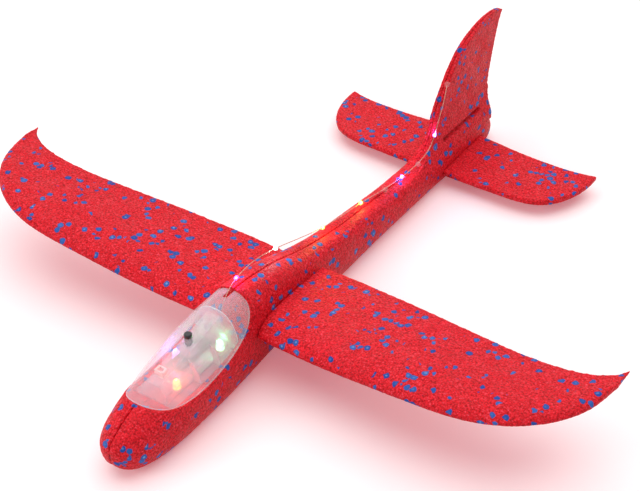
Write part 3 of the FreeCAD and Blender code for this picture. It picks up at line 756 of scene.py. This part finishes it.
# --- foam parts ---
@dataclass
class FoamAirframe:
    """Fuselage halves, wings and tailplane, each with the relief of its beads.

    Args:
        finish: The foam's material.
        voxel: Edge of one cell of the new skin, in metres.
        dimple: Depth of the joints between beads, in metres.
        ripple: Depth of the slow unevenness of the skin, in metres.
        ripple_size: Size of that unevenness, in metres.
        joint_width: Width of the joints, as a share of a bead.
        bodies: The body that each foam part rides on.
    """

    finish: Material
    voxel: float = 0.82 * MM
    dimple: float = 0.17 * MM
    ripple: float = 0.10 * MM
    ripple_size: float = 6 * MM
    joint_width: float = 0.22
    bodies: dict[str, str] = field(default_factory=lambda: {
        "fuselage_left": "airframe", "fuselage_right": "airframe", "wing_left": "left_panel",
        "wing_right": "right_panel", "tailplane": "tail_panel"})

    def relief(self) -> Tree:
        """Builds the modifier tree that sinks the joints between beads.

        Returns:
            The tree.
        """
        tree = bpy.data.node_groups.new("bead_relief", "GeometryNodeTree")
        tree.interface.new_socket(name="Geometry", in_out="INPUT", socket_type="NodeSocketGeometry")
        tree.interface.new_socket(name="Geometry", in_out="OUTPUT", socket_type="NodeSocketGeometry")
        wiring = Wiring(tree)
        given, result = wiring.node("NodeGroupInput"), wiring.node("NodeGroupOutput")
        where = wiring.node("GeometryNodeInputPosition").outputs[0]
        joint = PACKING.cells(wiring, PACKING.bent(wiring, where), "DISTANCE_TO_EDGE")
        sunk = wiring.spread(joint.outputs["Distance"], 0.0, self.joint_width, -self.dimple, 0.0)
        swell = wiring.noise(where, self.ripple_size)
        sunk = wiring.sum("SUBTRACT", sunk, wiring.spread(swell.outputs[0], 0.3, 0.7, 0.0, self.ripple))
        normal = wiring.node("GeometryNodeInputNormal").outputs[0]
        moved = wiring.node("GeometryNodeSetPosition", None,
                            {"Geometry": given.outputs[0], "Offset": wiring.vector("SCALE", normal, sunk)})
        wiring.feed(result.inputs[0], moved.outputs[0])
        return tree

    def skin(self, node: str, tree: Tree) -> Object:
        """Gives one foam part its beaded skin.

        Args:
            node: Name of the CAD node.
            tree: The relief.

        Returns:
            The new piece, riding on the node's body and standing for it.
        """
        draft = bpy.data.objects.new("draft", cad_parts[node].data.copy())
        bpy.context.scene.collection.objects.link(draft)
        remesh = draft.modifiers.new("skin", "REMESH")
        remesh.mode, remesh.voxel_size = "VOXEL", self.voxel
        ease = draft.modifiers.new("ease", "SMOOTH")
        ease.factor, ease.iterations = 0.5, 2
        beads = draft.modifiers.new("beads", "NODES")
        beads.node_group = tree
        mesh = baked_mesh(draft)
        bpy.data.objects.remove(draft)
        piece = place(f"{node}_foam", mesh, self.finish)
        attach(piece, self.bodies[node])
        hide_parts(node)
        LOG.info("%s: %d faces", piece.name, len(mesh.polygons))
        return piece

    def build(self) -> None:
        """Builds every foam part."""
        tree = self.relief()
        for node in self.bodies:
            self.skin(node, tree)


# --- cockpit ---
class CockpitLamp(Enum):
    """Each lamp in the cockpit: its CAD node, the light that it throws and its power in watts."""

    GREEN = ("lamp_green", (0.10, 1.0, 0.35), 0.0100)
    ORANGE = ("lamp_orange", (1.0, 0.16, 0.06), 0.0120)
    VIOLET = ("lamp_violet", (0.42, 0.22, 1.0), 0.0055)


@dataclass
class Cockpit:
    """Canopy, lamp housing, battery box, switch and lamps.

    Args:
        finishes: Materials by slot.
        lip_radius: Radius of the canopy's rolled lip, in metres.
        lip_step: Distance between two rings of the lip, in metres.
        wall_radius: Radius of the thick edge on the housing's rear wall, in metres.
        wall_step: Distance between two rings of that edge, in metres.
        wall_inset: How far that edge is set in from the wall's corner, in metres.
        wall_foot: Height above which the wall's edge is thickened, in metres.
        weld: Distance at which two corners of a CAD mesh count as one, in metres.
        lamp_lift: Height of each lamp's light above the lamp's middle, in metres.
        lamp_radius: Radius of that light, in metres.
        dressed: Slot for each CAD node that keeps its shape.
    """

    finishes: Finishes
    lip_radius: float = 0.40 * MM
    lip_step: float = 0.9 * MM
    wall_radius: float = 0.36 * MM
    wall_step: float = 0.8 * MM
    wall_inset: float = 0.3 * MM
    wall_foot: float = 42 * MM
    weld: float = 0.002 * MM
    lamp_lift: float = 4 * MM
    lamp_radius: float = 1.5 * MM
    dressed: dict[str, str] = field(default_factory=lambda: {
        "canopy": "clear_shell", "light_housing": "milky_plastic", "canopy_latch": "frosted_plastic",
        "battery_tub": "milky_plastic", "battery_lid": "white_plastic", "lid_screw": "zinc_screw",
        "battery_cell_1": "cell_steel", "battery_cell_2": "cell_steel", "battery_cell_3": "cell_steel",
        "contact_spring": "spring_wire", "contact_plate": "spring_wire", "circuit_board": "board",
        "switch_body": "white_plastic", "switch_button": "button_plastic", "lamp_green": "lamp_green",
        "lamp_orange": "lamp_orange", "lamp_violet": "lamp_violet", "nose_weight": "steel"})

    def dress(self) -> None:
        """Gives each CAD node its finish."""
        for node, slot in self.dressed.items():
            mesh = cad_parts[node].data
            mesh.materials.clear()
            mesh.materials.append(self.finishes.made[slot])
            LOG.info("%s: %s", node, slot)

    def glow(self, lamp: CockpitLamp) -> None:
        """Sets a small coloured light just above a lamp.

        Args:
            lamp: Which lamp.
        """
        node, tint, power = lamp.value
        low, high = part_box(node)
        middle = (low + high) / 2 + Vector((0.0, 0.0, self.lamp_lift))
        point_light(f"{node}_glow", middle, tint, power, self.lamp_radius)

    def welded(self, node: str) -> bmesh.types.BMesh:
        """Opens the mesh of a CAD node with its corners joined; the caller frees it."""
        opened = bmesh.new()
        opened.from_mesh(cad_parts[node].data)
        bmesh.ops.remove_doubles(opened, verts=opened.verts, dist=self.weld)
        return opened

    def rim_line(self) -> list[Vector]:
        """Follows the outer lower edge of the canopy.

        Returns:
            The points of the edge, in order.
        """
        shell = self.welded("canopy")
        low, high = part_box("canopy")
        axis = Vector(((low.x + high.x) / 2, 0.0, low.z))
        kept = []
        for edge in shell.edges:
            if len(edge.link_faces) != 2 or edge.calc_face_angle() < math.radians(35):
                continue
            under, wall = sorted(edge.link_faces, key=lambda face: face.normal.z)
            outward = (wall.calc_center_median() - axis) * Vector((1.0, 0.0, 1.0))
            if under.normal.z < -0.25 and wall.normal.dot(outward) > 0:
                kept.append(edge)
        line = [vertex.co.copy() for vertex in max(self.chains(kept), key=len)]
        shell.free()
        return line

    def chains(self, edges: list[bmesh.types.BMEdge]) -> list[list[bmesh.types.BMVert]]:
        """Joins loose edges end to end.

        Args:
            edges: The edges.

        Returns:
            Each run of vertices found.
        """
        left = set(edges)
        found = []
        while left:
            first = left.pop()
            run = [first.verts[0], first.verts[1]]
            for end in (0, -1):
                while True:
                    step = next((edge for edge in run[end].link_edges if edge in left), None)
                    if step is None:
                        break
                    left.discard(step)
                    run.insert(0 if end == 0 else len(run), step.other_vert(run[end]))
            found.append(run)
        return found

    def lip(self) -> None:
        """Rolls a thin bright lip along the lower edge of the canopy."""
        line = evenly(self.rim_line(), self.lip_step)
        low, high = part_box("canopy")
        middle = (low + high) / 2
        inset = [point + Vector((-math.copysign(self.lip_radius, point.x - middle.x), 0.0, self.lip_radius))
                 for point in line]
        mesh = tube_mesh("canopy_lip", inset, [self.lip_radius] * len(inset), 8)
        piece = place("canopy_lip", mesh, self.finishes.made["clear_shell"])
        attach(piece, "canopy_shell")
        LOG.info("canopy_lip: %d faces", len(mesh.polygons))

    def wall_edge(self) -> None:
        """Runs a bright thickened edge over the rear wall of the housing."""
        housing = self.welded("light_housing")
        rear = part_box("light_housing")[1].y
        kept = [edge for edge in housing.edges
                if len(edge.link_faces) == 2 and edge.calc_face_angle() > math.radians(50)
                and all(abs(vertex.co.y - rear) < 0.03 * MM and vertex.co.z > self.wall_foot
                        for vertex in edge.verts)]
        runs = [[vertex.co.copy() for vertex in run] for run in self.chains(kept)]
        housing.free()
        outer = max(runs, key=lambda run: sum((b - a).length for a, b in zip(run, run[1:])))
        inward = Vector((0.0, -self.wall_inset, -self.wall_inset))
        line = [point + inward for point in evenly(outer, self.wall_step)]
        mesh = tube_mesh("bulkhead_edge", line, [self.wall_radius] * len(line), 6)
        piece = place("bulkhead_edge", mesh, self.finishes.made["frosted_plastic"])
        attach(piece, "airframe")
        LOG.info("bulkhead_edge: %d faces", len(mesh.polygons))

    def build(self) -> None:
        """Dresses the cockpit, rolls its edges and lights the lamps."""
        self.dress()
        self.lip()
        self.wall_edge()
        for lamp in CockpitLamp:
            self.glow(lamp)


# --- string of lamps ---
class BeadLamp(Enum):
    """Each lamp on the string: its CAD node, slot, light colour and resin colour."""

    FIRST = ("light_bead_1", "bead_magenta", (1.0, 0.05, 0.72), (0.9, 0.25, 0.75))
    SECOND = ("light_bead_2", "bead_cyan", (0.45, 0.95, 1.0), (0.8, 0.95, 1.0))
    THIRD = ("light_bead_3", "bead_yellow", (1.0, 0.78, 0.06), (1.0, 0.85, 0.3))
    FOURTH = ("light_bead_4", "bead_amber", (1.0, 0.70, 0.10), (1.0, 0.8, 0.3))
    FIFTH = ("light_bead_5", "bead_rose", (0.95, 0.15, 0.85), (0.95, 0.5, 0.9))
    SIXTH = ("light_bead_6", "bead_blue", (0.25, 0.22, 1.0), (0.45, 0.45, 1.0))


@dataclass
class LampString:
    """Twisted pair of enamelled wires with six resin drops and dabs of clear glue.

    Args:
        finishes: Materials by slot.
        route: Points that the pair runs through, in millimetres.
        strand: Radius of one wire, in metres.
        pitch: Length of one twist, in metres.
        step: Distance between two rings of a wire, in metres.
        rings: Number of rings along one drop.
        girth: Width of a drop at its fattest, as a share of its CAD width.
        blunt: Power that blunts a drop's ends; 1 is an ellipse.
        uneven: How far a ring's radius strays, as a share of it.
        drop_power: Power of each drop's light, in watts.
    """

    finishes: Finishes
    route: list[Place] = field(default_factory=lambda: [
        (0.0, -136.4, 44.5), (0.0, -129.0, 45.2), (0.0, -121.6, 49.4), (-0.2, -117.0, 59.4),
        (-1.2, -109.4, 65.0), (-4.4, -97.0, 65.6), (-6.0, -76.0, 65.2), (-5.2, -52.6, 60.4),
        (-4.0, -26.0, 52.0), (-3.2, -1.0, 44.8), (-3.0, 22.0, 40.6), (-2.4, 45.0, 37.8),
        (0.6, 72.0, 34.6), (1.8, 93.0, 32.8), (3.0, 113.0, 33.4), (4.6, 126.0, 38.4), (4.9, 133.4, 48.0),
        (4.8, 139.6, 60.0), (4.4, 146.6, 70.8), (2.6, 153.2, 80.4)])
    strand: float = 0.17 * MM
    pitch: float = 3.6 * MM
    step: float = 0.36 * MM
    rings: int = 18
    girth: float = 0.84
    blunt: float = 0.72
    uneven: float = 0.05
    drop_power: float = 0.0085

    def line(self) -> list[Vector]:
        """Reads the run of the pair from a smooth spline through its route.

        Returns:
            Points an even step apart.
        """
        curve = bpy.data.curves.new("pair_route", "CURVE")
        curve.dimensions = "3D"
        spline = curve.splines.new("NURBS")
        spline.points.add(len(self.route) - 1)
        for point, at in zip(spline.points, self.route):
            point.co = (*(part * MM for part in at), 1.0)
        spline.order_u = 3
        spline.use_endpoint_u = True
        spline.resolution_u = 14
        guide = bpy.data.objects.new("pair_route", curve)
        bpy.context.scene.collection.objects.link(guide)
        mesh = baked_mesh(guide)
        points = [vertex.co.copy() for vertex in mesh.vertices]
        bpy.data.objects.remove(guide)
        bpy.data.meshes.remove(mesh)
        return evenly(points, self.step)

    def pair(self, centres: list[Vector]) -> None:
        """Winds the two wires round the run.

        Args:
            centres: Points along the run.
        """
        across, up = walking_axes(centres)
        for side, name in enumerate(("wire_first", "wire_second")):
            wound = []
            for at, centre in enumerate(centres):
                turn = math.tau * at * self.step / self.pitch + math.pi * side
                wound.append(centre + self.strand * (across[at] * math.cos(turn) + up[at] * math.sin(turn)))
            mesh = tube_mesh(name, wound, [self.strand] * len(wound), 8)
            piece = place(name, mesh, self.finishes.made["enamelled_wire"])
            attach(piece, "airframe")
            if side == 0:
                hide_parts("light_wire")
            LOG.info("%s: %d faces", name, len(mesh.polygons))

    def drop(self, lamp: BeadLamp, centres: list[Vector], draw: random.Random) -> None:
        """Moulds one drop of resin with its chip and its light.

        Args:
            lamp: Which lamp.
            centres: Points along the run.
            draw: Seeded source of the small differences between drops.
        """
        node, slot, tint, _ = lamp.value
        low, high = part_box(node)
        middle, reach = (low + high) / 2, min(high - low) / 2
        near = min(range(2, len(centres) - 2), key=lambda at: (centres[at] - middle).length)
        along = (centres[near + 2] - centres[near - 2]).normalized()
        line, radii = [], []
        for ring in range(self.rings + 1):
            share = ring / self.rings
            swell = math.sin(math.pi * share) ** self.blunt
            line.append(middle + along * reach * 0.97 * math.cos(math.pi * (1 - share)))
            stray = 1 + self.uneven * draw.uniform(-1, 1)
            radii.append(max(reach * self.girth * swell * stray, 0.12 * MM))
        piece = place(f"drop_{node[-1]}", tube_mesh(node, line, radii, 20), self.finishes.made[slot])
        smooth = piece.modifiers.new("even", "SUBSURF")
        smooth.levels = smooth.render_levels = 1
        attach(piece, "airframe")
        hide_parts(node)
        self.chip(f"chip_{node[-1]}", middle, along, reach, slot)
        above = middle + Vector((0.0, 0.0, reach * 1.5))
        point_light(f"{node}_glow", above, tint, self.drop_power, reach * 0.9)
        LOG.info("%s: %s", piece.name, slot)

    def chip(self, name: str, middle: Vector, along: Vector, reach: float, slot: str) -> None:
        """Sets the lit chip inside a drop.

        Args:
            name: Name of the piece.
            middle: Middle of the drop.
            along: Direction of the wires.
            reach: Half the width of the drop, in metres.
            slot: Slot of its drop.
        """
        half = reach * 0.34
        line = [middle + along * half * share for share in (-1.0, -0.86, 0.86, 1.0)]
        mesh = tube_mesh(name, line, [half * 0.72, half, half, half * 0.72], 4)
        piece = place(name, mesh, self.finishes.made["chip"], smooth=False)
        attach(piece, "airframe")

    def build(self) -> None:
        """Builds the pair, the drops and the glue."""
        centres = self.line()
        self.pair(centres)
        draw = random.Random(11)
        for lamp in BeadLamp:
            self.drop(lamp, centres, draw)
        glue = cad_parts["glue_dabs"].data
        glue.materials.clear()
        glue.materials.append(self.finishes.made["clear_glue"])


# --- studio ---
@dataclass
class Studio:
    """Floor, surrounding light, soft boxes and camera.

    Args:
        azimuth: Camera's turn round the glider from straight ahead of its nose, in degrees.
        elevation: Its height angle, in degrees.
        roll: Its tilt, in degrees.
        distance: Its distance from the aim, in metres.
        aim: The point it looks at.
        lens: Focal length on a 36 mm frame.
        fill: Strength of the light from all round.
        fill_tint: Its colour.
        key: Strength of the wide light from above, in watts a square metre.
        key_width: How wide that light looks from the glider, in degrees.
        key_from: The point it shines from.
        front_from: Place of the small soft box in front.
        front_size: Width of its face, in metres.
        front_power: Its power, in watts.
        floor_half: Half the width of the floor, in metres.
        floor_pale: Colour of the floor.
        floor_dull: Colour of its duller patches.
        painted_blush: Pink that the floor gives off evenly to the camera, a painted stand-in for the light
            that red foam throws into its shadows.
        painted_blush_strength: Strength of that painted pink.
    """

    azimuth: float = 36.31
    elevation: float = 38.36
    roll: float = -2.08
    distance: float = 1.1364
    aim: Place = (-0.0068, 0.0, 0.0269)
    lens: float = 90.81
    fill: float = 0.48
    fill_tint: Colour = (1.0, 0.985, 0.98)
    key: float = 1.8
    key_width: float = 84.0
    key_from: Place = (-0.15, 0.35, 1.4)
    front_from: Place = (-0.75, -1.2, 0.70)
    front_size: float = 0.5
    front_power: float = 3.6
    floor_half: float = 4.0
    floor_pale: Colour = (0.82, 0.93, 0.92)
    floor_dull: Colour = (0.81, 0.92, 0.91)
    painted_blush: Colour = (1.0, 0.30, 0.36)
    painted_blush_strength: float = 0.36

    def camera(self) -> None:
        """Sets the camera."""
        turn, rise, tilt = (math.radians(v) for v in (self.azimuth, self.elevation, self.roll))
        back = Vector((math.sin(turn) * math.cos(rise), -math.cos(turn) * math.cos(rise), math.sin(rise)))
        flat = Vector((math.cos(turn), math.sin(turn), 0.0))
        high = back.cross(flat)
        right = flat * math.cos(tilt) + high * math.sin(tilt)
        up = high * math.cos(tilt) - flat * math.sin(tilt)
        lens = bpy.data.cameras.new("camera")
        lens.lens, lens.sensor_width = self.lens, 36.0
        lens.clip_start, lens.clip_end = 0.02, 20.0
        held = hang("camera", lens, Vector(self.aim))
        held.matrix_world = Matrix.Translation(Vector(self.aim) + back * self.distance) @ Matrix(
            (right, up, back)).transposed().to_4x4()
        bpy.context.scene.camera = held

    def seen_white(self, wiring: Wiring) -> Socket:
        """Adds the mask of rays that should see the plain white surround.

        Args:
            wiring: The tree to build in.

        Returns:
            The socket with the mask.
        """
        path = wiring.node("ShaderNodeLightPath")
        seen = wiring.sum("MAXIMUM", path.outputs["Is Camera Ray"], path.outputs["Is Glossy Ray"])
        return wiring.sum("MAXIMUM", seen, path.outputs["Is Transmission Ray"])

    def surround(self) -> None:
        """Lights the scene softly from all round, and shows it white."""
        world = bpy.data.worlds.new("surround")
        bpy.context.scene.world = world
        world.use_nodes = True
        world.node_tree.nodes.clear()
        wiring = Wiring(world.node_tree)
        lit = wiring.node("ShaderNodeBackground", None, {"Color": self.fill_tint, "Strength": self.fill})
        white = wiring.node("ShaderNodeBackground", None, {"Color": WHITE, "Strength": 1.0})
        mixed = wiring.node("ShaderNodeMixShader", None,
                            {0: self.seen_white(wiring), 1: lit.outputs[0], 2: white.outputs[0]})
        output = wiring.node("ShaderNodeOutputWorld")
        wiring.feed(output.inputs["Surface"], mixed.outputs[0])

    def floor(self, finishes: Finishes) -> None:
        """Lays the pale floor, which keeps the glider's soft shadow and is clear from below.

        Args:
            finishes: The set of materials.
        """
        material, wiring, shader = finishes.start("studio_floor")
        grain = finishes.grained(wiring, 300.0)
        wiring.feeds(shader, {
            "Base Color": wiring.tint(grain.outputs["Patch"], self.floor_pale, self.floor_dull),
            "Roughness": 0.9,
            "Specular IOR Level": 0.1})
        # painted shadow tint: an even pink glow for camera and reflection rays, which shows in the floor's
        # shadows as the light red foam would throw there
        strength = wiring.some(self.seen_white(wiring), self.painted_blush_strength)
        shine = wiring.node("ShaderNodeEmission", None, {"Color": self.painted_blush, "Strength": strength})
        both = wiring.node("ShaderNodeAddShader", None, {0: shader.outputs[0], 1: shine.outputs[0]})
        under = wiring.node("ShaderNodeNewGeometry").outputs["Backfacing"]
        nothing = wiring.node("ShaderNodeBsdfTransparent")
        one_sided = wiring.node("ShaderNodeMixShader", None,
                                {0: under, 1: both.outputs[0], 2: nothing.outputs[0]})
        output = material.node_tree.get_output_node("ALL")
        wiring.feed(output.inputs["Surface"], one_sided.outputs[0])
        half = self.floor_half
        corners = [(-half, -half, 0), (half, -half, 0), (half, half, 0), (-half, half, 0)]
        mesh = bpy.data.meshes.new("floor")
        mesh.from_pydata(corners, [], [(0, 1, 2, 3)])
        place("floor", mesh, material)

    def overhead(self) -> None:
        """Hangs the wide light above and a little behind the glider."""
        lamp = bpy.data.lights.new("overhead", "SUN")
        lamp.energy, lamp.angle = self.key, math.radians(self.key_width)
        held = hang("overhead", lamp, Vector(self.key_from))
        held.rotation_euler = (-held.location).to_track_quat("-Z", "Y").to_euler()

    def front(self) -> None:
        """Hangs a small square soft box in front, facing the glider."""
        lamp = bpy.data.lights.new("front", "AREA")
        lamp.size, lamp.energy = self.front_size, self.front_power
        held = hang("front", lamp, Vector(self.front_from))
        towards = Vector((0.0, 0.0, 0.03)) - held.location
        held.rotation_euler = towards.to_track_quat("-Z", "Y").to_euler()

    def build(self, finishes: Finishes) -> None:
        """Builds the studio."""
        self.camera()
        self.surround()
        self.floor(finishes)
        self.overhead()
        self.front()
        bpy.context.scene.view_settings.view_transform = "Standard"


def all_finishes() -> Finishes:
    """Builds every material of the glider.

    Returns:
        The set of materials.
    """
    finishes = Finishes()
    recipes = [
        BeadFoam(), ClearShell(), CircuitLaminate(),
        # milky_plastic has a weak painted glow in its own pink, for the lamp light inside the housing
        MouldedPlastic("milky_plastic", (1.0, 0.64, 0.73), 0.42, Grain.SATIN, milk=3 * MM, alpha=0.22,
                       glow=0.14),
        MouldedPlastic("frosted_plastic", (1.0, 0.86, 0.90), 0.30, Grain.SATIN, milk=1 * MM, alpha=0.5),
        MouldedPlastic("white_plastic", (0.84, 0.84, 0.83), 0.32, Grain.SPARKED),
        MouldedPlastic("button_plastic", (0.008, 0.008, 0.009), 0.38, Grain.SPARKED),
        MouldedPlastic("clear_glue", (1.0, 0.72, 0.72), 0.16, Grain.POLISHED, alpha=0.09),
        BareMetal("steel", (0.62, 0.62, 0.63), (0.44, 0.44, 0.45), 0.30),
        BareMetal("zinc_screw", (0.72, 0.73, 0.76), (0.55, 0.55, 0.56), 0.24),
        BareMetal("cell_steel", (0.80, 0.80, 0.81), (0.68, 0.68, 0.70), 0.16, 0.2),
        BareMetal("spring_wire", (0.74, 0.73, 0.70), (0.60, 0.58, 0.55), 0.18, 0.3),
        BareMetal("enamelled_wire", (0.66, 0.36, 0.30), (0.50, 0.24, 0.18), 0.22, 0.3),
        LampResin("lamp_green", (0.35, 1.0, 0.55), (0.6, 0.95, 0.7), 2.6, 0.8),
        LampResin("lamp_orange", (1.0, 0.52, 0.06), (1.0, 0.6, 0.2), 1.9, 0.8),
        LampResin("lamp_violet", (0.55, 0.35, 1.0), (0.7, 0.6, 1.0), 2.0, 0.8),
        LampResin("chip", WHITE, WHITE, 14.0, 1.0),
    ]
    for _, slot, tint, body in (lamp.value for lamp in BeadLamp):
        recipes.append(LampResin(slot, tint, body, 1.3, 0.6))
    for recipe in recipes:
        recipe.build(finishes)
    return finishes


def main() -> None:
    """Builds the glider and its studio in order."""
    logging.basicConfig(level=logging.INFO, format="%(name)s %(message)s")
    finishes = all_finishes()
    Studio().build(finishes)
    FoamAirframe(finishes.made["bead_foam"]).build()
    Cockpit(finishes).build()
    LampString(finishes).build()


if __name__ == "__main__":
    main()
